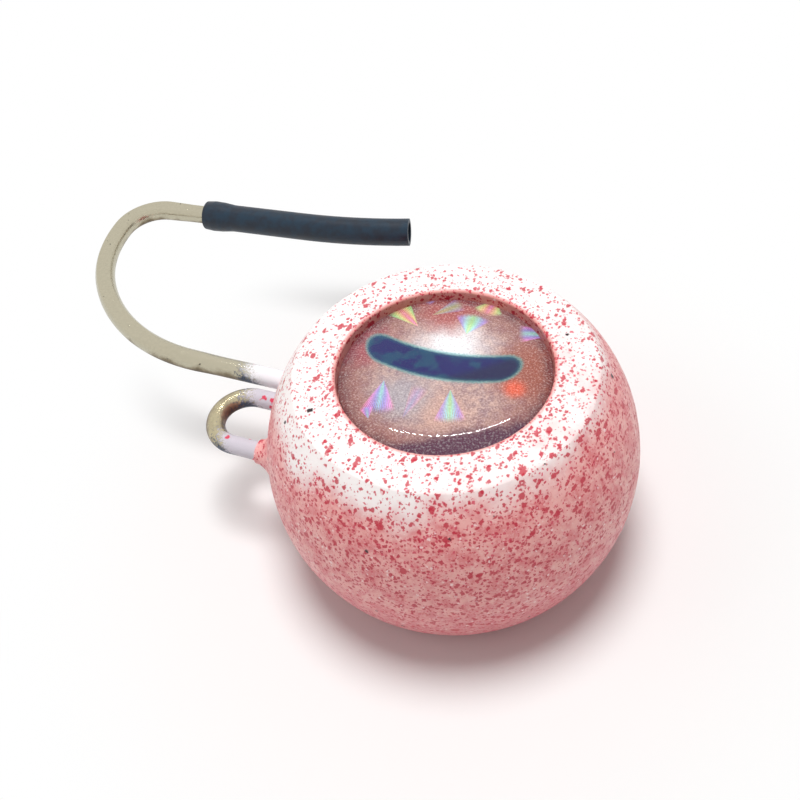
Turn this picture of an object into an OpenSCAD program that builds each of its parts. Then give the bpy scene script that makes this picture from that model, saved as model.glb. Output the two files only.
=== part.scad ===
// Ball jig head for deep water, lying on one of its two flat faces.
// The origin is on the head's axis, in the plane of the lower flat face. +Z is up, through both
// eyes. The hook lies level at the head's mid height: its shank leaves the head along -X, and its
// point and its line eye are on the +Y side.

/* [Head] */
// Diameter of the lead ball
ball_d = 46; // [42:0.5:54]
// Distance between the head's two flat faces
flat_w = 29.6; // [26:0.2:34]
// Rounding between each flat face and the ball
shoulder_r = 3; // [1.5:0.1:4]
// Radial gap between the cast lead and a wire that is cast in
cast_gap = 0.02; // [0.01:0.01:0.05]
// How far the lead collar runs out along the hook's shank
shank_collar = 2.4; // [1.2:0.2:4]
// How far the lead fillets run out along the loop's legs
leg_collar = 1.6; // [0.8:0.2:3]
// Thickness of lead round a wire at the thin end of its collar
collar_lip = 0.3; // [0.2:0.05:0.6]
// Extra thickness of a collar at its waist
collar_waist = 0.7; // [0.4:0.1:1]
// Extra thickness of a collar at its root
collar_root = 2.2; // [1.4:0.1:2.6]
// Extra thickness of lead at the root of the line eye's stem
stem_root = 1.8; // [1:0.1:2.4]

/* [Eyes] */
// Diameter of one stick-on eye
eye_d = 25; // [20:0.5:27]
// Radial gap between the eye and its recess
eye_gap = 0.15; // [0.05:0.05:0.3]
// Depth of the recess that holds the eye
recess_h = 2.6; // [2.2:0.1:3.4]
// Thickness of the adhesive pad
pad_t = 0.5; // [0.3:0.1:0.8]
// How far the pad's edge stays inside the eye's edge
pad_inset = 0.6; // [0.3:0.1:1.5]
// Thickness of the printed foil disc
foil_t = 0.3; // [0.2:0.05:0.5]
// How far the lens crown stays below the flat face
crown_drop = 0.1; // [0.05:0.05:0.4]
// Height of the lens crown above the lens's edge
lens_rise = 0.8; // [0.4:0.1:1]
// Rounding of the lens's edge
lens_edge_r = 0.6; // [0.3:0.05:0.7]

/* [Hook] */
// Diameter of the hook's wire
wire_d = 2.7; // [2.2:0.1:3.2]
// Distance from the head's axis to the shank, towards the point
shank_y = 4.4; // [4:0.1:6]
// Straight shank between the ball's outermost reach and the bend
shank_free = 16.4; // [12:0.2:26]
// Radius of the bend where it leaves the shank
bend_r1 = 26.5; // [22:0.5:32]
// Radius of the bend's middle
bend_r2 = 20; // [12:0.5:22]
// Radius of the bend where it turns into the point leg
bend_r3 = 5.8; // [4:0.1:8]
// Length of the point leg, to the tip
leg_l = 27; // [24:0.5:34]
// Length of the ground point
point_l = 9.5; // [7:0.5:12]
// Distance from the barb's tip to the hook's tip
barb_back = 7; // [5:0.2:8]
// How far the barb stands proud of the wire
barb_rise = 0.05; // [0.02:0.01:0.08]
// Width of the barb, across the hook
barb_w = 1.1; // [0.8:0.1:1.4]
// Width of the forged bend, in the hook's plane
forged_w = 2.9; // [2.8:0.1:3.4]
// Thickness of the forged bend, across the hook's plane
forged_t = 2.1; // [1.7:0.1:2.5]

/* [Line eye] */
// Place of the line eye along the head, towards the nose
tie_x = -2.3; // [-5:0.1:4]
// Height of the line eye's centre above the ball
tie_rise = 4; // [3.4:0.1:8]
// Inner diameter of the line eye
tie_hole_d = 4; // [3.4:0.1:6]
// Diameter of the wire that is rolled into the line eye
tie_wire_d = 2.3; // [2:0.1:2.6]
// Radius of the shank's turn inside the head
turn_r = 4; // [3:0.2:6]
// Slit between the eye's end and the shank
tie_slit_a = 3; // [1:0.5:8]

/* [Assist loop] */
// Diameter of the loop's wire
loop_wire_d = 2.5; // [2:0.1:2.8]
// Clear width inside the loop
loop_w = 5.7; // [5:0.1:6.4]
// How far the loop reaches beyond the ball
loop_out = 9.7; // [9:0.1:16]
// Gap between the hook's shank and the loop
loop_gap = 1.2; // [0.6:0.1:2.5]
// Radius of the bent feet inside the head
foot_r = 2.4; // [2:0.1:3.5]
// Straight length of each bent foot
foot_l = 3; // [1:0.5:5]
// Depth inside the ball at which the outer leg turns
outer_leg_in = 8; // [6:0.5:10]
// Extra depth at which the inner leg turns
inner_leg_more = 6; // [5.6:0.2:8]

/* [Point guard] */
// Outer diameter of the guard tube
guard_d = 4.1; // [3.8:0.1:5]
// Radial gap between the guard's bore and the hook's wire
guard_gap = 0.1; // [0.09:0.01:0.3]
// Length of the guard along its middle
guard_l = 33; // [30:0.5:40]
// Straight stretch of the guard, from its open end
guard_straight = 16; // [12:0.5:18]
// Radius of the guard's natural curve
guard_curve_r = 90; // [70:5:160]
// Distance from the end of the bend to the guard
guard_start = 6.6; // [5.4:0.2:7.4]
// Length of the swollen mouth
mouth_l = 4.6; // [3:0.2:6]
// How far the mouth swells, on the radius
mouth_swell = 0.28; // [0.1:0.02:0.4]
// How far the slanted cut reaches into the mouth
mouth_cut = 0.9; // [0.4:0.1:1.4]
// Slant of the mouth's cut, in degrees
mouth_slant = 22; // [0:1:30]

/* [Hidden] */
$fn = 96;

// Over-reach of a cutting solid, so that it leaves no skin
over = 1;
mid_z = flat_w / 2;
ball_r = ball_d / 2;
wire_r = wire_d / 2;
eye_r = eye_d / 2;
recess_r = eye_r + eye_gap;
lens_t = recess_h - pad_t - foil_t - crown_drop;

// The hook's bend: three arcs, each tangent to the last. They meet along directions that are the
// sides of whole-number right triangles, 3-4-5 and 237-3116-3125, so that each joint is exact.
leg_a = atan2(237, 3116);
dir0 = [0, -1];
dir1 = [-4, -3] / 5;
dir2 = [-1, 0];
dir3 = [-237, 3116] / 3125;
bend_start = [-(ball_r + shank_free), shank_y];
centre1 = bend_start - bend_r1 * dir0;
centre2 = centre1 + (bend_r1 - bend_r2) * dir1;
centre3 = centre2 + (bend_r2 - bend_r3) * dir2;
// Length over which the wire swells into the forged bend
forge_run = 4;
// Length of the slope from a forged flat to the round wire
forge_slope = 6;

// The line eye
tie_ring_r = (tie_hole_d + tie_wire_d) / 2;
tie_y = ball_r + tie_rise;

// The loop: its inner leg is the one beside the shank
loop_wire_r = loop_wire_d / 2;
loop_bend_r = (loop_w + loop_wire_d) / 2;
inner_leg_y = shank_y - wire_r - loop_gap - loop_wire_r;
outer_leg_y = inner_leg_y - 2 * loop_bend_r;
loop_bend_x = -(ball_r + loop_out) + loop_wire_r + loop_bend_r;

// The guard
guard_bore_r = wire_r + guard_gap;
guard_arc_a = (guard_l - guard_straight) / guard_curve_r * 180 / PI;

// A length to the nearest hundredth of a millimetre, so that wires that meet there meet exactly
function to_hundredth(v) = round(v * 100) / 100;
// Where the ball's surface stands at a distance y from the head's axis, in the hook's plane
function ball_reach(y) = sqrt(ball_r * ball_r - y * y);
// Middle of the rounding of radius f between a circle of radius r and the line at height h
function rounding_x(r, h, f) = sqrt(pow(r - f, 2) - pow(h - f, 2));

// ---- shapes that the wires share ----

// Straight round wire from point a to point b of the hook's plane, with radius ra at a and rb at b
module straight_wire(a, b, ra, rb) {
    run = b - a;
    translate([a.x, a.y, 0]) rotate([0, 0, atan2(run.y, run.x)]) rotate([0, 90, 0])
        cylinder(h = norm(run), r1 = ra, r2 = rb);
}

// Round wire of radius wr along an arc of radius r about c, from direction da to direction db,
// which are less than half a turn apart
module arc_wire(c, r, da, db, wr) {
    wide = 4 * r;
    translate([c.x, c.y, 0]) intersection() {
        rotate_extrude() translate([r, 0]) circle(r = wr);
        translate([0, 0, -2 * wr]) linear_extrude(4 * wr)
            polygon([[0, 0], wide * da, wide * (da + db), wide * db]);
    }
}

// ---- head ----

// Half outline of a disc of radius r cut at heights +h and -h, with its corners rounded by f
module rounded_half_disc(r, h, f) {
    corner_x = sqrt(r * r - h * h);
    mx = rounding_x(r, h, f);
    touch = r * [mx, h - f] / norm([mx, h - f]);
    difference() {
        intersection() {
            circle(r = r);
            translate([0, -h]) square([r + over, 2 * h]);
        }
        for (side = [1, -1]) scale([1, side]) difference() {
            polygon([[mx, h - f], [mx, h + over], [corner_x + over, h + over],
                touch + [over, 0], touch]);
            translate([mx, h - f]) circle(r = f);
        }
    }
}

// Lead that runs out along a wire: two cones that leave the ball steeply and end in a thin lip
module collar(wr, y, run) {
    reach = ball_reach(y);
    root = wr + collar_lip + collar_root;
    waist = wr + collar_lip + collar_waist;
    straight_wire([-(reach - root / 2), y], [-(reach + run * 0.3), y], root, waist);
    straight_wire([-(reach + run * 0.3), y], [-(reach + run), y], waist, wr + collar_lip);
}

module head_casting() {
    color("mistyrose") difference() {
        union() {
            translate([0, 0, mid_z]) rotate_extrude() rounded_half_disc(ball_r, mid_z, shoulder_r);
            translate([0, 0, mid_z]) {
                collar(wire_r, shank_y, shank_collar);
                collar(loop_wire_r, inner_leg_y, leg_collar);
                collar(loop_wire_r, outer_leg_y, leg_collar);
                straight_wire([tie_x, ball_r - wire_d], [tie_x, tie_y - tie_ring_r + 0.2],
                    wire_r + stem_root, wire_r + collar_lip);
            }
        }
        for (z = [-over, flat_w - recess_h])
            translate([0, 0, z]) cylinder(h = recess_h + over, r = recess_r);
        translate([0, 0, mid_z]) {
            shank_wire(cast_gap);
            line_eye(cast_gap);
            loop_wire(cast_gap);
        }
    }
}

// ---- hook ----

// Puts what is drawn along +X from the origin onto the point leg, from the end of the bend
module on_leg() {
    translate([centre3.x, centre3.y, 0]) rotate([0, 0, leg_a]) translate([0, bend_r3, 0]) children();
}

// Shank, from the bend into the head and round the turn towards the line eye
module shank_wire(gap) {
    r = wire_r + gap;
    straight_wire(bend_start + [forge_run, 0], [tie_x - turn_r, shank_y], r, r);
    arc_wire([tie_x - turn_r, shank_y + turn_r], turn_r, [0, -1], [1, 0], r);
    straight_wire([tie_x, shank_y + turn_r], [tie_x, tie_y - tie_ring_r], r, r);
}

// Ring rolled from the end of the wire, closed against the shank but for a slit
module line_eye(gap) {
    foot_a = asin(wire_r / tie_ring_r);
    translate([tie_x, tie_y, 0]) rotate([0, 0, -90])
        rotate_extrude(angle = 360 - foot_a - tie_slit_a) translate([tie_ring_r, 0])
            circle(r = tie_wire_d / 2 + gap);
}

// Flat that the forging leaves on one face of the bend
module forging_cut() {
    x1 = bend_start.x - forge_run;
    x0 = x1 - forge_slope;
    far = centre1.x - bend_r1 - bend_r2 - 2 * wire_d;
    deep = 2 * ball_d;
    rotate([90, 0, 0]) translate([0, 0, -deep]) linear_extrude(2 * deep)
        polygon([[far, forged_t / 2], [x0, forged_t / 2], [x1, forged_w / 2 + 0.05],
            [x1, 2 * forged_w], [far, 2 * forged_w]]);
}

// Ground point and barb, along +X from the start of the point leg. The barb is cut from the side
// that faces the shank.
module point_and_barb() {
    root = leg_l - point_l;
    knee = leg_l - point_l * 0.45;
    tip_s = leg_l - barb_back;
    intersection() {
        difference() {
            union() {
                straight_wire([forge_run, 0], [root, 0], wire_r, wire_r);
                straight_wire([root, 0], [knee, 0], wire_r, wire_r * 0.72);
                straight_wire([knee, 0], [leg_l, 0], wire_r * 0.72, 0.06);
                translate([0, 0, -barb_w / 2]) linear_extrude(barb_w)
                    polygon([[tip_s, -wire_r - 2 * barb_rise], [tip_s + 1.1, -wire_r * 0.45],
                        [tip_s + 3.6, -wire_r * 0.45]]);
            }
            translate([0, 0, -wire_d]) linear_extrude(2 * wire_d)
                polygon([[tip_s - 1.9, -wire_r - 0.1], [tip_s + 0.9, -wire_r * 0.5],
                    [tip_s - 0.1, -wire_r - 0.1], [tip_s - 0.1, -wire_d], [tip_s - 1.9, -wire_d]]);
        }
        straight_wire([0, 0], [leg_l + over, 0], wire_r + barb_rise, wire_r + barb_rise);
    }
}

module jig_hook() {
    forged_r = forged_w / 2;
    color("tan") translate([0, 0, mid_z]) {
        difference() {
            union() {
                shank_wire(0);
                line_eye(0);
                straight_wire(bend_start + [forge_run, 0], bend_start, wire_r, forged_r);
                arc_wire(centre1, bend_r1, dir0, dir1, forged_r);
                arc_wire(centre2, bend_r2, dir1, dir2, forged_r);
                arc_wire(centre3, bend_r3, dir2, dir3, forged_r);
                on_leg() {
                    straight_wire([0, 0], [forge_run, 0], forged_r, wire_r);
                    point_and_barb();
                }
            }
            for (side = [0, 1]) mirror([0, 0, side]) forging_cut();
        }
    }
}

// ---- assist loop ----

// Bent wire with both ends turned aside inside the lead, so that it can't pull out
module loop_wire(gap) {
    r = loop_wire_r + gap;
    outer_in = to_hundredth(-(ball_reach(outer_leg_y) - outer_leg_in));
    inner_in = outer_in + inner_leg_more;
    middle = [loop_bend_x, inner_leg_y - loop_bend_r];
    arc_wire(middle, loop_bend_r, [0, 1], [-1, 0], r);
    arc_wire(middle, loop_bend_r, [-1, 0], [0, -1], r);
    for (leg = [[inner_leg_y, inner_in], [outer_leg_y, outer_in]]) {
        straight_wire([loop_bend_x, leg[0]], [leg[1], leg[0]], r, r);
        arc_wire([leg[1], leg[0] - foot_r], foot_r, [0, 1], [1, 0], r);
        straight_wire([leg[1] + foot_r, leg[0] - foot_r],
            [leg[1] + foot_r, leg[0] - foot_r - foot_l], r, r);
    }
}

module assist_loop() {
    color("peru") translate([0, 0, mid_z]) loop_wire(0);
}

// ---- eyes ----

// Puts a piece of the lower eye in place, or turns it over for the upper one
module eye_side(upper) {
    if (upper) translate([0, 0, flat_w]) mirror([0, 0, 1]) children();
    else children();
}

// The heights below are those of the lower eye, whose lens faces down
module eye_pad() {
    color("gainsboro") translate([0, 0, recess_h - pad_t]) cylinder(h = pad_t, r = eye_r - pad_inset);
}

module eye_foil() {
    color("silver") translate([0, 0, crown_drop + lens_t]) cylinder(h = foil_t, r = eye_r);
}

// Clear resin cap: a shallow dome with a rounded edge on a short upright rim
module eye_lens() {
    dome_r = (eye_r * eye_r + lens_rise * lens_rise) / (2 * lens_rise);
    mx = eye_r - lens_edge_r;
    my = dome_r - sqrt(pow(dome_r - lens_edge_r, 2) - mx * mx);
    out = [mx, my - dome_r] / norm([mx, my - dome_r]);
    touch = [mx, my] + lens_edge_r * out;
    color("white", 0.4) translate([0, 0, crown_drop]) rotate_extrude() difference() {
        intersection() {
            translate([0, dome_r]) circle(r = dome_r, $fn = 360);
            square([eye_r, lens_t]);
        }
        difference() {
            polygon([[mx, my], touch, [touch.x, -over], [eye_r + over, -over], [eye_r + over, my]]);
            translate([mx, my]) circle(r = lens_edge_r);
        }
    }
}

module upper_eye_pad() { eye_side(true) eye_pad(); }
module upper_eye_foil() { eye_side(true) eye_foil(); }
module upper_eye_lens() { eye_side(true) eye_lens(); }
module lower_eye_pad() { eye_side(false) eye_pad(); }
module lower_eye_foil() { eye_side(false) eye_foil(); }
module lower_eye_lens() { eye_side(false) eye_lens(); }

// ---- point guard ----

// Half outline of the straight stretch: a swollen mouth, then an even wall. x is the radius.
module guard_wall() {
    r = guard_d / 2;
    polygon([[guard_bore_r + mouth_swell, 0], [r + mouth_swell * 0.5, 0],
        [r + mouth_swell, mouth_l * 0.3], [r + mouth_swell * 0.8, mouth_l * 0.6], [r, mouth_l],
        [r, guard_straight], [guard_bore_r, guard_straight], [guard_bore_r, mouth_l]]);
}

module point_guard() {
    slant_over = guard_d;
    color("midnightblue") translate([0, 0, mid_z]) on_leg() translate([guard_start, 0, 0]) {
        difference() {
            rotate([90, 0, 90]) rotate_extrude() guard_wall();
            rotate([0, 0, mouth_slant]) translate([-slant_over, -slant_over, -slant_over])
                cube([slant_over - mouth_cut, 2 * slant_over, 2 * slant_over]);
        }
        translate([guard_straight, guard_curve_r, 0]) rotate([0, 0, -90])
            rotate_extrude(angle = guard_arc_a) translate([guard_curve_r, 0]) difference() {
                circle(d = guard_d);
                circle(r = guard_bore_r);
            }
    }
}

head_casting();
jig_hook();
assist_loop();
upper_eye_pad();
upper_eye_foil();
upper_eye_lens();
lower_eye_pad();
lower_eye_foil();
lower_eye_lens();
point_guard();
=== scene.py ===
import math

import bmesh
import bpy
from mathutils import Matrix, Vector, noise


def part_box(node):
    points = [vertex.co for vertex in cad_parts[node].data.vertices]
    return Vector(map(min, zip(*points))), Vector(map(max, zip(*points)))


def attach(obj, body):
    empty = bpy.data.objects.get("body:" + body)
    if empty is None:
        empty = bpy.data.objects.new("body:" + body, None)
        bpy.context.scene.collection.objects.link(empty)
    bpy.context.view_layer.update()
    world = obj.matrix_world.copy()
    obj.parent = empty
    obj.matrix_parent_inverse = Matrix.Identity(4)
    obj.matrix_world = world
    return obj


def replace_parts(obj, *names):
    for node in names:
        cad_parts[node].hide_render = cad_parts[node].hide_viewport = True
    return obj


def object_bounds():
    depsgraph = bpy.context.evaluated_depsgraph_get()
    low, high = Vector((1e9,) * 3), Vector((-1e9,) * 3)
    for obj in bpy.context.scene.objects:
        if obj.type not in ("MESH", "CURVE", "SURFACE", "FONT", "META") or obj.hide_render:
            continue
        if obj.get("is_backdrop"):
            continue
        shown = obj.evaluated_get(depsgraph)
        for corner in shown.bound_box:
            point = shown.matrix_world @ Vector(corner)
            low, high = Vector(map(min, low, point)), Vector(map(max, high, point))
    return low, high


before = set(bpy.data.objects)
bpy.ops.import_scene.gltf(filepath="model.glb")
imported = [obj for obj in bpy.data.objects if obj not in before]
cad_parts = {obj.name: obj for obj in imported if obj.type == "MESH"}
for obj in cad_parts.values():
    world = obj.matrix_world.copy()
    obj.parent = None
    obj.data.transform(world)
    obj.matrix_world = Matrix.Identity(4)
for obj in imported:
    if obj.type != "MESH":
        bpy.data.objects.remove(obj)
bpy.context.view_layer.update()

# ---- Camera ----
# The camera looks down on the jig head from its front side, with the hook away to the left.
# It is leaned over a little, as a camera is when it is held by hand.
mm = 0.001
camera_place = Vector((34.51, -77.51, 120.70)) * mm
camera_aim = Vector((-9.19, 5.54, 14.80)) * mm
camera_lean = math.radians(8.77)

lens_body = bpy.data.cameras.new("camera")
lens_body.sensor_width = 36
lens_body.lens = 48.69
lens_body.clip_start = 0.01
lens_body.clip_end = 20
camera = bpy.data.objects.new("camera", lens_body)
bpy.context.collection.objects.link(camera)
look = (camera_aim - camera_place).to_track_quat("-Z", "Y").to_matrix().to_4x4()
camera.matrix_world = look
camera.rotation_euler.rotate_axis("Z", -camera_lean)
camera.location = camera_place
bpy.context.scene.camera = camera

# ---- Table and studio ----
# A plain white table top that runs out into a white backdrop. It keeps the soft shadows
# near the jig head and is even white further out.


def put(tree, kind, settings=None, **inputs):
    """Adds a node, sets its options, and fills or joins its inputs by name or by place."""
    made = tree.nodes.new("ShaderNode" + kind)
    for option, value in (settings or {}).items():
        setattr(made, option, value)
    for name, value in inputs.items():
        key = int(name[1:]) if name[0] == "i" and name[1:].isdigit() else name.replace("_", " ")
        if isinstance(value, bpy.types.NodeSocket):
            tree.links.new(value, made.inputs[key])
        else:
            made.inputs[key].default_value = value
    return made


def calc(tree, what, first, second=0.0, clamp=False):
    """One step of arithmetic on values that change over a surface."""
    return put(tree, "Math", {"operation": what, "use_clamp": clamp}, i0=first, i1=second).outputs[0]


def between(tree, value, low, high, from_low=0.0, to_high=1.0):
    """Rises smoothly from one number to another while a value runs from low to high."""
    step = put(tree, "MapRange", {"interpolation_type": "SMOOTHSTEP"}, Value=value,
               From_Min=low, From_Max=high, To_Min=from_low, To_Max=to_high)
    return step.outputs[0]


def tint(tree, amount, under, over):
    """Lays one colour over another, as far as the amount says."""
    made = put(tree, "Mix", {"data_type": "RGBA", "clamp_factor": True})
    for place, value in ((0, amount), (6, under), (7, over)):
        if isinstance(value, bpy.types.NodeSocket):
            tree.links.new(value, made.inputs[place])
        else:
            made.inputs[place].default_value = value
    return made.outputs[2]


def layer(tree, mask, strength, under, over):
    """Lays one colour over another through a mask, up to a strength."""
    return tint(tree, calc(tree, "MULTIPLY", mask, strength), under, over)


def paint(red, green, blue):
    """A colour from its everyday 0 to 255 values."""
    linear = [((c / 255 + 0.055) / 1.055) ** 2.4 if c > 10 else c / 3294 for c in (red, green, blue)]
    return (*linear, 1.0)


def new_finish(name):
    """An empty node material, its tree and its output node."""
    finish = bpy.data.materials.new(name)
    finish.use_nodes = True
    finish.node_tree.nodes.clear()
    return finish, finish.node_tree, put(finish.node_tree, "OutputMaterial")


table_finish, tree, out = new_finish("white_table")
spot = put(tree, "TexCoord").outputs["Object"]
from_middle = put(tree, "VectorMath", {"operation": "LENGTH"}, i0=spot).outputs["Value"]
sheet = put(tree, "BsdfPrincipled", Base_Color=(0.9, 0.895, 0.89, 1), Roughness=0.7,
            Specular_IOR_Level=0.1)
white = put(tree, "Emission", Color=(1, 1, 1, 1), Strength=1.0)
path = put(tree, "LightPath").outputs
seen = calc(tree, "MAXIMUM", path["Is Camera Ray"],
            calc(tree, "MAXIMUM", path["Is Glossy Ray"], path["Is Transmission Ray"]))
fade = calc(tree, "MULTIPLY", between(tree, from_middle, 0.030, 0.062), seen)
top = put(tree, "MixShader", i0=fade, i1=sheet.outputs[0], i2=white.outputs[0])
tree.links.new(top.outputs[0], out.inputs["Surface"])

shape = bmesh.new()
bmesh.ops.create_circle(shape, cap_ends=True, segments=96, radius=3.0)
table_mesh = bpy.data.meshes.new("table")
shape.to_mesh(table_mesh)
shape.free()
table = bpy.data.objects.new("table", table_mesh)
table_mesh.materials.append(table_finish)
bpy.context.collection.objects.link(table)
table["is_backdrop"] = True

room = bpy.data.worlds.new("studio")
bpy.context.scene.world = room
room.use_nodes = True
tree = room.node_tree
tree.nodes.clear()
path = put(tree, "LightPath").outputs
seen = calc(tree, "MAXIMUM", path["Is Camera Ray"],
            calc(tree, "MAXIMUM", path["Is Glossy Ray"], path["Is Transmission Ray"]))
glow = put(tree, "Background", Color=(1.0, 0.985, 0.97, 1),
           Strength=between(tree, seen, 0.0, 1.0, 0.30, 1.0))
tree.links.new(glow.outputs[0], put(tree, "OutputWorld").inputs["Surface"])


def add_lamp(name, place, size, power, aim=(-0.005, 0.003, 0.015)):
    """A round soft lamp that faces the jig head. It is hidden from gloss, where the strip shows."""
    lamp = bpy.data.lights.new(name, "AREA")
    lamp.shape = "DISK"
    lamp.size = size
    lamp.energy = power
    made = bpy.data.objects.new(name, lamp)
    made.location = place
    made.rotation_mode = "QUATERNION"
    made.rotation_quaternion = (Vector(aim) - Vector(place)).to_track_quat("-Z", "Y")
    made.visible_glossy = False
    bpy.context.collection.objects.link(made)


add_lamp("overhead", (-0.01, 0.03, 0.50), 0.22, 2.0)
add_lamp("fill", (-0.45, -0.25, 0.35), 0.40, 0.30)

# a straight strip of small lamps, which only shows as a row of glints on the clear resin
strip_from, strip_to = Vector((-0.185, 0.140, 0.45)), Vector((0.040, 0.212, 0.45))
beads = 19
for bead in range(beads):
    light = bpy.data.lights.new(f"strip_{bead}", "POINT")
    light.energy = 0.05
    light.shadow_soft_size = 0.0045
    made = bpy.data.objects.new(f"strip_{bead}", light)
    made.location = strip_from.lerp(strip_to, bead / (beads - 1))
    made.visible_diffuse = False
    bpy.context.collection.objects.link(made)

bpy.context.scene.view_settings.view_transform = "Standard"

# ---- Head ----
# A cast lead ball with two flat faces, each with a round recess for a stick-on eye, under a
# baked powder coat: pale pink, thick with crimson flecks. Short flares of lead run out along
# the wires that were cast in.
ball_radius = 23.0 * mm
mid_height = 14.8 * mm
top_height = 29.6 * mm
recess_radius = 12.65 * mm
recess_depth = 2.6 * mm
flat_radius = math.sqrt(ball_radius ** 2 - mid_height ** 2)
flat_angle = math.atan2(mid_height, flat_radius)


def chain(shape, places):
    """A row of points joined by edges."""
    made = [shape.verts.new(place) for place in places]
    for one, other in zip(made, made[1:]):
        shape.edges.new((one, other))
    return made


def keep(shape, name, body, finish, smooth=40):
    """Turns a finished shape into a piece that rides on a body and has its finish."""
    mesh = bpy.data.meshes.new(name)
    shape.to_mesh(mesh)
    shape.free()
    piece = bpy.data.objects.new(name, mesh)
    bpy.context.collection.objects.link(piece)
    mesh.materials.append(finish)
    mesh.polygons.foreach_set("use_smooth", [True] * len(mesh.polygons))
    mesh.set_sharp_from_angle(angle=math.radians(smooth))
    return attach(piece, body)


# the casting's outline, from the middle of the upper recess round to that of the lower one
shape = bmesh.new()
upper = chain(shape, [(0, 0, top_height - recess_depth), (recess_radius, 0, top_height - recess_depth),
                      (recess_radius, 0, top_height), (flat_radius, 0, top_height)])
turned = bmesh.ops.spin(shape, geom=[upper[-1]], cent=(0, 0, mid_height), axis=(0, 1, 0),
                        angle=2 * flat_angle, steps=72)
last = [part for part in turned["geom_last"] if isinstance(part, bmesh.types.BMVert)][0]
lower = chain(shape, [(recess_radius, 0, 0), (recess_radius, 0, recess_depth), (0, 0, recess_depth)])
shape.edges.new((last, lower[0]))
bmesh.ops.bevel(shape, geom=[upper[3], last], affect="VERTICES", offset=1.4 * mm, segments=12,
                profile=0.5, material=-1)
bmesh.ops.bevel(shape, geom=[v for v in shape.verts if abs(v.co.x - recess_radius) < 1e-7
                             and min(v.co.z, top_height - v.co.z) < 1e-7],
                affect="VERTICES", offset=0.32 * mm, segments=4, profile=0.5, material=-1)
bmesh.ops.spin(shape, geom=shape.verts[:] + shape.edges[:], cent=(0, 0, 0), axis=(0, 0, 1),
               angle=2 * math.pi, steps=240, use_merge=True)
bmesh.ops.remove_doubles(shape, verts=shape.verts, dist=1e-6)
bmesh.ops.recalc_face_normals(shape, faces=shape.faces)
# the coat's low swells, only ever inwards, and none where the head rests
for point in shape.verts:
    away = min(point.co.z, top_height - point.co.z) / (2 * mm)
    sink = noise.noise(point.co * 160) + 0.5 * noise.noise(point.co * 420)
    point.co -= point.normal * (0.05 * mm * (sink + 1.5) / 3) * min(1, max(0, away))


def flare(shape, heading, side, offset, wire, reach, spread):
    """Lead that runs out along a wire in a hollow curve, from the ball to a thin lip."""
    heading, side = Vector(heading), Vector(side)
    across = heading.cross(side)
    middle = Vector((0, 0, mid_height))
    lip = wire + 0.35 * mm
    lip_edge = lip - 0.12 * mm
    around, steps = 48, 14
    tip = math.sqrt(ball_radius ** 2 - offset ** 2) + reach
    ring = bmesh.ops.create_circle(shape, cap_ends=False, segments=around, radius=wire)["verts"]
    angles = [math.atan2(v.co.y, v.co.x) for v in ring]
    # two steps form the lip, and the rest run from it down to the ball
    for step in range(-2, steps + 1):
        if step > -2:
            edges = list({e for v in ring for e in v.link_edges if e.other_vert(v) in ring})
            grown = bmesh.ops.extrude_edge_only(shape, edges=edges)["geom"]
            fresh = [part for part in grown if isinstance(part, bmesh.types.BMVert)]
            fresh.sort(key=lambda v: min(range(around), key=lambda n: (v.co - ring[n].co).length))
            ring = fresh
        turn = math.pi / 2 * max(0, step) / steps
        for vert, angle in zip(ring, angles):
            uneven = 1 + 0.25 * noise.noise(Vector((angle, offset * 900, reach * 500)))
            flared = lip + spread * (1 - math.cos(turn)) * uneven
            wide = {-2: wire, -1: lip_edge}.get(step, flared)
            aside, up = offset + wide * math.cos(angle), wide * math.sin(angle)
            skin = math.sqrt(ball_radius ** 2 - aside ** 2 - up ** 2) - 0.10 * mm
            far = tip + 0.05 * mm if step < 0 else tip + (skin - tip) * math.sin(turn)
            vert.co = middle + heading * far + side * aside + across * up


collars = bmesh.new()
flare(collars, (-1, 0, 0), (0, 1, 0), 4.4 * mm, 1.35 * mm, 2.2 * mm, 2.6 * mm)
flare(collars, (-1, 0, 0), (0, 1, 0), 0.6 * mm, 1.25 * mm, 1.5 * mm, 1.7 * mm)
flare(collars, (-1, 0, 0), (0, 1, 0), -7.6 * mm, 1.25 * mm, 1.7 * mm, 2.4 * mm)
flare(collars, (0, 1, 0), (1, 0, 0), -2.3 * mm, 1.35 * mm, 1.0 * mm, 2.0 * mm)
bmesh.ops.recalc_face_normals(collars, faces=collars.faces)


def fleck_layer():
    """Shared pattern: flecks of uneven size strewn over a surface, as a mask."""
    group = bpy.data.node_groups.new("flecks", "ShaderNodeTree")
    for name, kind in (("Place", "NodeSocketVector"), ("Cell", "NodeSocketFloat"),
                       ("Size", "NodeSocketFloat"), ("Share", "NodeSocketFloat"),
                       ("Edge", "NodeSocketFloat")):
        group.interface.new_socket(name, in_out="INPUT", socket_type=kind)
    group.interface.new_socket("Mask", in_out="OUTPUT", socket_type="NodeSocketFloat")
    start, end = group.nodes.new("NodeGroupInput"), group.nodes.new("NodeGroupOutput")
    cells = put(group, "TexVoronoi", Vector=start.outputs["Place"],
                Scale=calc(group, "DIVIDE", 1.0, start.outputs["Cell"]))
    draw = put(group, "SeparateColor", Color=cells.outputs["Color"]).outputs
    here = calc(group, "LESS_THAN", draw["Red"], start.outputs["Share"])
    radius = calc(group, "MULTIPLY", start.outputs["Size"], calc(group, "ADD", draw["Green"], 0.45))
    inside = calc(group, "SUBTRACT", radius, cells.outputs["Distance"])
    soft = calc(group, "DIVIDE", inside, start.outputs["Edge"], clamp=True)
    group.links.new(calc(group, "MULTIPLY", soft, here), end.inputs["Mask"])
    return group


flecks = fleck_layer()


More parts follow.
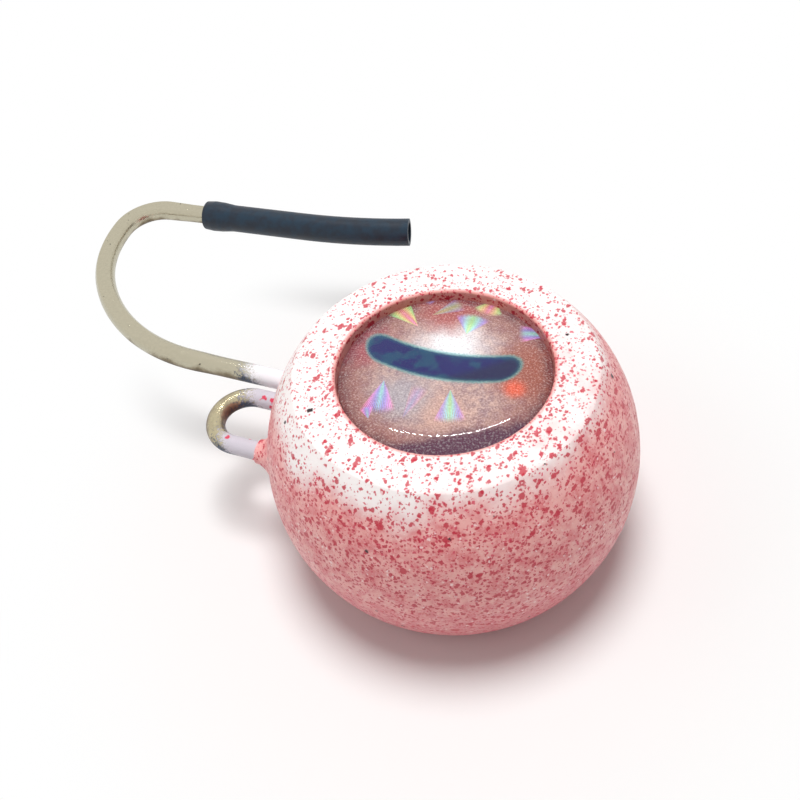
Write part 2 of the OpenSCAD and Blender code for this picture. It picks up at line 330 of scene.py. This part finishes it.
def strew(tree, place, cell, size, share, edge=0.05):
    """Puts the fleck pattern into a finish. Cell is in millimetres, size in parts of a cell."""
    made = tree.nodes.new("ShaderNodeGroup")
    made.node_tree = flecks
    for name, value in (("Place", place), ("Cell", cell), ("Size", size), ("Share", share), ("Edge", edge)):
        if isinstance(value, bpy.types.NodeSocket):
            tree.links.new(value, made.inputs[name])
        else:
            made.inputs[name].default_value = value
    return made.outputs["Mask"]


def in_millimetres(tree):
    """The piece's own coordinates, in millimetres."""
    place = put(tree, "TexCoord").outputs["Object"]
    return put(tree, "VectorMath", {"operation": "SCALE"}, i0=place, i3=1000.0).outputs[0]


def cloud(tree, place, scale, detail=3.0, rough=0.55):
    """Soft uneven patches, from 0 to 1."""
    return put(tree, "TexNoise", Vector=place, Scale=scale, Detail=detail, Roughness=rough).outputs[0]


def stir(tree, place, scale, reach):
    """Bends a pattern's coordinates by an uneven amount, so that its forms turn ragged."""
    swirl = put(tree, "TexNoise", Vector=place, Scale=scale, Detail=2.0).outputs["Color"]
    centred = put(tree, "VectorMath", {"operation": "SUBTRACT"}, i0=swirl, i1=(0.5, 0.5, 0.5)).outputs[0]
    pushed = put(tree, "VectorMath", {"operation": "SCALE"}, i0=centred, i3=reach).outputs[0]
    return put(tree, "VectorMath", {"operation": "ADD"}, i0=place, i1=pushed).outputs[0]


coat, tree, out = new_finish("speckled_powder_coat")
place = in_millimetres(tree)
ragged = stir(tree, place, 3.2, 0.42)
ragged = stir(tree, ragged, 1.1, 0.5)
long_way = put(tree, "Mapping", Vector=ragged, Rotation=(0.5, 0.3, 0.8), Scale=(1.0, 0.55, 1.0)).outputs[0]
along, _, height = put(tree, "SeparateXYZ", Vector=place).outputs
patches = cloud(tree, place, 0.12)
# height made uneven, and leaning higher towards the hook's side
low = calc(tree, "ADD", height, calc(tree, "MULTIPLY", calc(tree, "SUBTRACT", patches, 0.5), 7.0))
low = calc(tree, "SUBTRACT", low, calc(tree, "MULTIPLY", along, 0.09))
flat = put(tree, "VectorMath", {"operation": "MULTIPLY"}, i0=place, i1=(1, 1, 0)).outputs[0]
radius = put(tree, "VectorMath", {"operation": "LENGTH"}, i0=flat).outputs["Value"]
hollow = between(tree, radius, 13.3, 12.6)
# painted light: the coat turns paler on its upper face and towards the hook's side, where the light falls
painted_top_light = calc(tree, "MULTIPLY", between(tree, low, 24.8, 29.0), calc(tree, "SUBTRACT", 1.0, hollow))
blush = cloud(tree, place, 0.5, 4.0, 0.65)
colour = tint(tree, between(tree, blush, 0.36, 0.62), paint(226, 128, 130), paint(243, 176, 172))
# painted shade: the coat turns a darker dusty pink towards the bottom
colour = tint(tree, between(tree, low, 16.0, 4.0, 0.0, 0.75), colour, paint(214, 124, 132))
milky = between(tree, cloud(tree, place, 2.4, 3.0, 0.7), 0.5, 0.68)
colour = layer(tree, milky, 0.5, colour, paint(248, 208, 204))
# painted light: the pale upper face
colour = tint(tree, painted_top_light, colour, paint(255, 247, 246))
colour = layer(tree, hollow, 0.7, colour, paint(238, 158, 148))
brim = calc(tree, "MULTIPLY", between(tree, radius, 15.2, 12.9), between(tree, height, 20.0, 27.0))
brim = calc(tree, "SUBTRACT", brim, calc(tree, "MULTIPLY", hollow, 1.4))
denser = calc(tree, "ADD", calc(tree, "SUBTRACT", 1.0, calc(tree, "MULTIPLY", painted_top_light, 0.42)),
              calc(tree, "MULTIPLY", brim, 0.5))
crimson = paint(196, 22, 54)
rose = paint(214, 62, 88)
# each layer of flecks: its cell in millimetres, size, share, edge and colour
fleck_layers = ((0.36, 0.40, 0.72, 0.16, rose),
                (0.50, 0.40, 0.62, 0.14, crimson),
                (0.72, 0.34, 0.52, 0.11, crimson),
                (1.10, 0.27, 0.34, 0.08, crimson),
                (1.90, 0.20, 0.16, 0.05, crimson))
for cell, size, share, edge, dye in fleck_layers:
    lie = ragged if cell < 0.7 else long_way
    spots = strew(tree, lie, cell, size, calc(tree, "MULTIPLY", denser, share), edge)
    colour = layer(tree, spots, 0.88, colour, dye)
pale_specks = strew(tree, ragged, 0.62, 0.24, 0.34, 0.10)
colour = layer(tree, pale_specks, 0.8, colour, paint(255, 226, 226))
colour = tint(tree, strew(tree, ragged, 3.4, 0.085, 0.60, 0.02), colour, paint(40, 14, 22))
fine_peel = calc(tree, "MULTIPLY", cloud(tree, place, 4.5, 2.0), 0.35)
orange_peel = calc(tree, "ADD", cloud(tree, place, 1.3, 2.0), fine_peel)
relief = put(tree, "Bump", Strength=0.35, Distance=0.00012, Height=orange_peel).outputs[0]
skin = put(tree, "BsdfPrincipled", Base_Color=colour, Normal=relief, Coat_Weight=0.2, Coat_Roughness=0.25,
           Specular_IOR_Level=0.4, Roughness=between(tree, cloud(tree, place, 0.8), 0.3, 0.7, 0.4, 0.55))
tree.links.new(skin.outputs[0], out.inputs["Surface"])

head = keep(shape, "head_coat", "jig", coat)
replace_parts(head, "head_casting")
keep(collars, "wire_collars", "jig", coat)

# ---- Eyes ----
# Each eye is a printed holographic foil disc on a foam pad, under a poured cap of clear resin.
# The print is an octopus eye: a dark bar with a soft edge on a mottled iris. The foil's
# hologram is cut into fans of fine rays that catch the light in rainbow colours.


def fan_pattern():
    """Shared pattern: one fan of rays in the foil, from its apex, with its rainbow colour."""
    group = bpy.data.node_groups.new("foil_fan", "ShaderNodeTree")
    for name, kind in (("Place", "NodeSocketVector"), ("Apex", "NodeSocketVector"),
                       ("Heading", "NodeSocketFloat"), ("Spread", "NodeSocketFloat"),
                       ("Length", "NodeSocketFloat"), ("Hue", "NodeSocketFloat")):
        group.interface.new_socket(name, in_out="INPUT", socket_type=kind)
    group.interface.new_socket("Mask", in_out="OUTPUT", socket_type="NodeSocketFloat")
    group.interface.new_socket("Colour", in_out="OUTPUT", socket_type="NodeSocketColor")
    start, end = group.nodes.new("NodeGroupInput"), group.nodes.new("NodeGroupOutput")
    arm = put(group, "VectorMath", {"operation": "SUBTRACT"}, i0=start.outputs["Place"],
              i1=start.outputs["Apex"]).outputs[0]
    flat = put(group, "VectorMath", {"operation": "MULTIPLY"}, i0=arm, i1=(1, 1, 0)).outputs[0]
    parts = put(group, "SeparateXYZ", Vector=flat).outputs
    reach = put(group, "VectorMath", {"operation": "LENGTH"}, i0=flat).outputs["Value"]
    angle = calc(group, "ARCTAN2", parts["Y"], parts["X"])
    off = calc(group, "SUBTRACT", angle, start.outputs["Heading"])
    off = calc(group, "WRAP", off, math.pi)
    off.node.inputs[2].default_value = -math.pi
    aside = calc(group, "DIVIDE", calc(group, "ABSOLUTE", off), start.outputs["Spread"])
    along = calc(group, "DIVIDE", reach, start.outputs["Length"])
    wedge = between(group, aside, 1.0, 0.82)
    body = calc(group, "MULTIPLY", wedge, between(group, along, 1.05, 0.8))
    rays = calc(group, "SINE", calc(group, "MULTIPLY", off, 120.0))
    rays = between(group, rays, -0.9, 0.7, 0.15, 1.0)
    group.links.new(calc(group, "MULTIPLY", body, rays), end.inputs["Mask"])
    hue = calc(group, "ADD", start.outputs["Hue"], calc(group, "ADD", calc(group, "MULTIPLY", along, 0.22),
                                                       calc(group, "MULTIPLY", aside, 0.42)))
    bright = put(group, "CombineColor", {"mode": "HSV"}, i0=calc(group, "FRACT", hue), i1=0.58, i2=1.0)
    group.links.new(bright.outputs[0], end.inputs["Colour"])
    return group


foil_fan = fan_pattern()

foil, tree, out = new_finish("holographic_foil")
place = in_millimetres(tree)
level = put(tree, "VectorMath", {"operation": "MULTIPLY"}, i0=place, i1=(1, 1, 0)).outputs[0]
fuzzy = stir(tree, level, 5.0, 0.45)
wavy = stir(tree, level, 0.5, 2.4)


def blot(tree, place, x, y, size, soft):
    """A round soft patch about a point of the print."""
    away = put(tree, "VectorMath", {"operation": "DISTANCE"}, i0=place, i1=(x, y, 0)).outputs["Value"]
    return between(tree, away, size, size * (1 - soft))


radius = put(tree, "VectorMath", {"operation": "LENGTH"}, i0=wavy).outputs["Value"]
mottle = cloud(tree, level, 0.9, 5.0, 0.7)
grain = cloud(tree, level, 4.2, 3.0, 0.75)
colour = tint(tree, between(tree, mottle, 0.35, 0.65), paint(222, 192, 180), paint(180, 146, 150))
colour = tint(tree, blot(tree, wavy, -0.5, 4.3, 7.0, 0.9), colour, paint(250, 250, 252))
colour = layer(tree, blot(tree, wavy, -3.5, -5.0, 5.5, 0.8), 0.7, colour, paint(190, 190, 200))
colour = layer(tree, blot(tree, wavy, 2.0, -5.5, 4.6, 0.8), 0.8, colour, paint(222, 186, 170))
ring = between(tree, radius, 6.5, 11.5)
colour = layer(tree, ring, 0.7, colour, paint(162, 78, 66))
colour = layer(tree, blot(tree, wavy, 9.0, 3.0, 6.2, 0.7), 0.9, colour, paint(180, 92, 66))
colour = layer(tree, blot(tree, wavy, -11.0, 2.0, 5.0, 0.7), 0.75, colour, paint(188, 66, 88))
colour = layer(tree, blot(tree, wavy, -3.0, 10.5, 5.5, 0.7), 0.75, colour, paint(196, 76, 72))
colour = layer(tree, blot(tree, fuzzy, 8.4, 0.0, 1.9, 0.8), 0.9, colour, paint(244, 108, 62))
rim = between(tree, radius, 10.6, 12.6)
colour = layer(tree, rim, 0.75, colour, paint(96, 38, 60))
# painted shade: a dark maroon band along the print's edge on the side towards the camera, where the resin's
# edge darkens it
front_edge_shade = put(tree, "VectorMath", {"operation": "DOT_PRODUCT"}, i0=wavy, i1=(0.50, -0.86, 0)).outputs["Value"]
colour = tint(tree, between(tree, front_edge_shade, 7.9, 9.8), colour, paint(92, 24, 70))
colour = tint(tree, between(tree, grain, 0.45, 0.72, 0.0, 0.5), colour, paint(120, 84, 88))
colour = tint(tree, between(tree, grain, 0.52, 0.30, 0.0, 0.45), colour, paint(255, 250, 246))


def add_fan(tree, colour, apex, heading, spread, length, hue, strength):
    """Lays one fan of the hologram over the print."""
    made = tree.nodes.new("ShaderNodeGroup")
    made.node_tree = foil_fan
    tree.links.new(level, made.inputs["Place"])
    for name, value in (("Apex", (*apex, 0)), ("Heading", math.radians(heading)),
                        ("Spread", math.radians(spread)), ("Length", length), ("Hue", hue)):
        made.inputs[name].default_value = value
    return layer(tree, made.outputs["Mask"], strength, colour, made.outputs["Colour"])


# each fan: its apex in millimetres, heading and half spread in degrees, length, hue and strength
colour = add_fan(tree, colour, (-5.6, 6.3), 145, 24, 4.4, 0.80, 0.9)
colour = add_fan(tree, colour, (-4.6, 13.6), -140, 40, 3.6, 0.12, 0.8)
colour = add_fan(tree, colour, (0.4, 6.7), 92, 42, 3.4, 0.18, 0.85)
colour = add_fan(tree, colour, (1.8, 13.2), -95, 42, 2.9, 0.76, 0.85)
colour = add_fan(tree, colour, (10.2, 9.8), -160, 22, 4.2, 0.30, 0.8)
colour = add_fan(tree, colour, (-6.4, -2.9), -78, 27, 4.9, 0.38, 0.8)
colour = add_fan(tree, colour, (1.5, -2.2), -72, 24, 4.8, 0.24, 0.8)
colour = add_fan(tree, colour, (-2.3, -7.6), 85, 16, 5.0, 0.52, 0.35)
colour = add_fan(tree, colour, (-6.0, -8.6), 120, 30, 1.8, 0.40, 0.8)
colour = add_fan(tree, colour, (-4.6, 8.6), 45, 20, 4.0, 0.14, 0.5)

# the dark bar: its ends are round, its middle sags, and its edge is broken into fine dots
bar = put(tree, "Mapping", {"vector_type": "TEXTURE"}, Vector=stir(tree, level, 7.0, 0.35),
          Location=(-1.1, 1.0, 0), Rotation=(0, 0, math.radians(3))).outputs[0]
parts = put(tree, "SeparateXYZ", Vector=bar).outputs
rise = calc(tree, "MULTIPLY", calc(tree, "POWER", calc(tree, "ABSOLUTE", parts["X"]), 2.0), 0.0215)
up = calc(tree, "SUBTRACT", parts["Y"], rise)
past = calc(tree, "MAXIMUM", calc(tree, "SUBTRACT", calc(tree, "ABSOLUTE", parts["X"]), 7.3), 0.0)
gap = calc(tree, "SQRT", calc(tree, "ADD", calc(tree, "POWER", past, 2.0),
                             calc(tree, "POWER", calc(tree, "ABSOLUTE", up), 2.0)))
speck = calc(tree, "MULTIPLY", calc(tree, "SUBTRACT", cloud(tree, level, 9.0, 1.0), 0.5), 0.7)
gap = calc(tree, "ADD", gap, speck)
glint = between(tree, gap, 2.45, 2.0)
colour = layer(tree, glint, 0.6, colour, paint(60, 190, 190))
teal_patches = between(tree, cloud(tree, level, 0.34, 2.0), 0.46, 0.62)
dark = tint(tree, teal_patches, paint(14, 6, 112), paint(4, 74, 118))
slanting = calc(tree, "ADD", parts["X"], calc(tree, "MULTIPLY", up, -2.0))
dark = tint(tree, between(tree, slanting, 3.0, 6.5), dark, paint(22, 16, 84))
teal_dust = between(tree, cloud(tree, level, 6.0, 3.0, 0.8), 0.56, 0.72, 0.0, 0.65)
dark = tint(tree, teal_dust, dark, paint(20, 150, 160))
dark = tint(tree, between(tree, gap, 1.3, 1.9, 0.0, 0.4), dark, paint(0, 110, 130))
colour = tint(tree, between(tree, gap, 2.1, 1.75), colour, dark)
etched = calc(tree, "MULTIPLY", grain, 0.6)
relief = put(tree, "Bump", Strength=0.25, Distance=0.00005, Height=etched).outputs[0]
print_layer = put(tree, "BsdfPrincipled", Base_Color=colour, Specular_IOR_Level=0.15, Normal=relief,
                  Roughness=between(tree, grain, 0.3, 0.7, 0.28, 0.42))
tree.links.new(print_layer.outputs[0], out.inputs["Surface"])

resin, tree, out = new_finish("clear_resin")
place = in_millimetres(tree)
drip = put(tree, "Bump", Strength=0.05, Distance=0.0001, Height=cloud(tree, place, 0.4, 1.0)).outputs[0]
clear = put(tree, "BsdfPrincipled", Base_Color=(1, 1, 1, 1), Roughness=0.02, IOR=1.5,
            Specular_IOR_Level=0.22, Transmission_Weight=1.0, Normal=drip)
open_air = put(tree, "BsdfTransparent", Color=(0.97, 0.97, 0.97, 1))
through = put(tree, "LightPath").outputs["Is Shadow Ray"]
cap = put(tree, "MixShader", i0=through, i1=clear.outputs[0], i2=open_air.outputs[0])
tree.links.new(cap.outputs[0], out.inputs["Surface"])

# the resin stands up at its edge and rounds over into a low crown, as a poured drop does
eye_radius = 12.5 * mm
edge_share = 0.18
steps_over = 40
for side in ("upper", "lower"):
    low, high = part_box(f"{side}_eye_lens")
    base, crown = (low.z, high.z) if side == "upper" else (high.z, low.z)
    shape = bmesh.new()
    profile = chain(shape, [(0, 0, base), (eye_radius - 0.1 * mm, 0, base)])
    last = profile[-1]
    for step in range(steps_over + 1):
        turn = math.pi / 2 * step / steps_over
        out_to = eye_radius * max(0, math.cos(turn)) ** (1 / 3)
        up_to = edge_share + (1 - edge_share) * math.sin(turn)
        on_axis = step == steps_over
        fresh = shape.verts.new((0 if on_axis else out_to, 0, base + (crown - base) * up_to))
        shape.edges.new((last, fresh))
        last = fresh
    bmesh.ops.spin(shape, geom=shape.verts[:] + shape.edges[:], cent=(0, 0, 0), axis=(0, 0, 1),
                   angle=2 * math.pi, steps=160, use_merge=True)
    bmesh.ops.remove_doubles(shape, verts=shape.verts, dist=1e-6)
    bmesh.ops.recalc_face_normals(shape, faces=shape.faces)
    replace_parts(keep(shape, f"{side}_resin_cap", "jig", resin), f"{side}_eye_lens")

foam, tree, out = new_finish("foam_pad")
place = in_millimetres(tree)
cells = put(tree, "TexVoronoi", Vector=place, Scale=3.0).outputs["Distance"]
relief = put(tree, "Bump", Strength=0.6, Distance=0.0001, Height=cells).outputs[0]
pad = put(tree, "BsdfPrincipled", Roughness=0.9, Normal=relief,
          Base_Color=tint(tree, cells, paint(232, 230, 226), paint(206, 204, 200)))
tree.links.new(pad.outputs[0], out.inputs["Surface"])

for side in ("upper", "lower"):
    for node, finish in (("pad", foam), ("foil", foil)):
        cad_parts[f"{side}_eye_{node}"].material_slots[0].material = finish

# ---- Hook ----
# One forged steel hook with a worn nickel finish. Tarnish has browned the shank near the head and left
# pits, and its lower side is darkened with painted shade. The head's coat has oversprayed it from there on.


def wire_finish(name, clean, brown, overspray, paint_from, paint_to):
    """Worn plated wire: tarnish, painted shade on its underside, pits, and paint that covers it between two
    places along X.
    """
    finish, tree, out = new_finish(name)
    place = in_millimetres(tree)
    parts = put(tree, "SeparateXYZ", Vector=place).outputs
    patches = cloud(tree, place, 0.22, 4.0, 0.6)
    fine = cloud(tree, place, 2.6, 4.0, 0.65)
    colour = tint(tree, fine, clean, tuple(c * 0.78 for c in clean[:3]) + (1,))
    under = calc(tree, "SUBTRACT", mid_height / mm + 0.35, parts["Z"])
    # painted shade: the stain grows towards the wire's underside; its patches and the browning near the
    # shank are tarnish
    stain_and_shade = calc(tree, "ADD", calc(tree, "MULTIPLY", under, 0.8),
                 calc(tree, "MULTIPLY", calc(tree, "SUBTRACT", patches, 0.5), 2.6))
    near = between(tree, parts["X"], -56.0, -34.0, 0.0, 0.85)
    stain_and_shade = calc(tree, "ADD", stain_and_shade, calc(tree, "SUBTRACT", near, 0.25))
    tarnish_and_shade = between(tree, stain_and_shade, 0.05, 0.8)
    colour = layer(tree, tarnish_and_shade, 0.8, colour, brown)
    # the darkest painted shade and tarnish, low on the wire
    colour = layer(tree, between(tree, stain_and_shade, 0.6, 1.4), 0.8, colour, paint(58, 46, 34))
    pits = strew(tree, stir(tree, place, 2.5, 0.5), 0.9, 0.20, 0.22, 0.08)
    colour = layer(tree, pits, 0.75, colour, paint(52, 46, 42))
    wander = calc(tree, "MULTIPLY", calc(tree, "SUBTRACT", fine, 0.5), 6.0)
    reach = calc(tree, "ADD", parts["X"], wander)
    bluish = calc(tree, "MULTIPLY", between(tree, reach, paint_from - 1.4, paint_from),
                  between(tree, calc(tree, "ADD", under, wander), -1.1, 0.2))
    colour = tint(tree, bluish, colour, paint(30, 54, 82))
    shaded = calc(tree, "SUBTRACT", reach, calc(tree, "MULTIPLY", under, 1.3))
    covered = between(tree, shaded, paint_from, paint_to)
    colour = tint(tree, covered, colour, overspray)
    stray_flecks = strew(tree, stir(tree, place, 1.6, 1.1), 1.4, 0.3, 0.22, 0.08)
    colour = layer(tree, covered, stray_flecks, colour, paint(214, 60, 90))
    bare = calc(tree, "SUBTRACT", 1.0, calc(tree, "MAXIMUM", covered, bluish), clamp=True)
    lumps = calc(tree, "SUBTRACT", calc(tree, "MULTIPLY", fine, 0.5), pits)
    relief = put(tree, "Bump", Strength=0.6, Distance=0.00012, Height=lumps).outputs[0]
    metal = put(tree, "BsdfPrincipled", Base_Color=colour, Normal=relief,
                Metallic=calc(tree, "MULTIPLY", bare, between(tree, stain_and_shade, 1.2, 0.2, 0.35, 0.95)),
                Roughness=calc(tree, "ADD", between(tree, stain_and_shade, 0.0, 1.0, 0.22, 0.5),
                               calc(tree, "MULTIPLY", pits, 0.25), clamp=True))
    tree.links.new(metal.outputs[0], out.inputs["Surface"])
    return finish


hook_metal = wire_finish("worn_nickel", paint(198, 192, 170), paint(108, 90, 60), paint(246, 246, 250),
                         -31.0, -28.2)
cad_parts["jig_hook"].material_slots[0].material = hook_metal

# ---- Assist loop ----
# A second, thinner wire bent into a U beside the shank, for an assist cord. It has gone
# brown at the bend, its underside is darkened with painted shade, and both its legs carry overspray from
# the head's coat.
loop_metal = wire_finish("tarnished_loop", paint(200, 190, 158), paint(96, 70, 60), paint(206, 202, 212),
                         -28.8, -26.8)
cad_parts["assist_loop"].material_slots[0].material = loop_metal

# ---- Point guard ----
# A length of soft dark vinyl tube, pushed over the point so that nobody is pricked. Its mouth
# has stretched, and it keeps some of the curve of the coil that it was cut from.
vinyl, tree, out = new_finish("dark_vinyl")
place = in_millimetres(tree)
scuffs = cloud(tree, place, 0.7, 4.0, 0.6)
colour = tint(tree, between(tree, scuffs, 0.35, 0.7), paint(8, 24, 40), paint(16, 42, 60))
relief = put(tree, "Bump", Strength=0.3, Distance=0.0001, Height=cloud(tree, place, 2.2, 3.0)).outputs[0]
sleeve = put(tree, "BsdfPrincipled", Base_Color=colour, Normal=relief,
             Roughness=between(tree, scuffs, 0.3, 0.7, 0.38, 0.52))
tree.links.new(sleeve.outputs[0], out.inputs["Surface"])
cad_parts["point_guard"].material_slots[0].material = vinyl

low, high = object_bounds()
